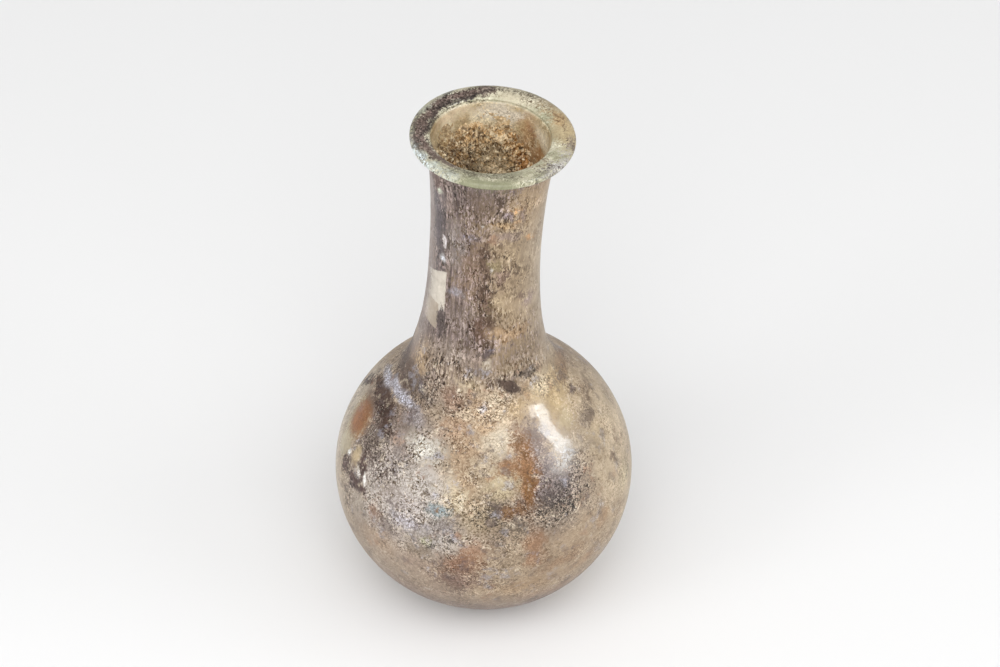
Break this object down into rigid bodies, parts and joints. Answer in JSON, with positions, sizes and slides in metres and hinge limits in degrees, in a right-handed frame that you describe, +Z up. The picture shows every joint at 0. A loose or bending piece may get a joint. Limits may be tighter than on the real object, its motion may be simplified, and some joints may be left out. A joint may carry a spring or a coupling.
{
  "type": "glass perfume flask",
  "caption": "Small blown glass perfume flask with a globular body, tall neck and wide folded rim; holds scented oil or unguent and stands on its flattened base.",
  "frame": {"origin": "centre of the flattened base, on the surface that the flask stands on", "axes": "+Z up along the body's axis, towards the mouth; the neck leans a little towards +X"},
  "size_m": [0.058, 0.058, 0.1084],
  "materials": {
    "weathered_glass": "pale green blown glass under a brown, buff and purple weathering crust with silvery iridescence"
  },
  "bodies": {
    "root": {"flask": "weathered_glass"}
  },
  "joints": []
}
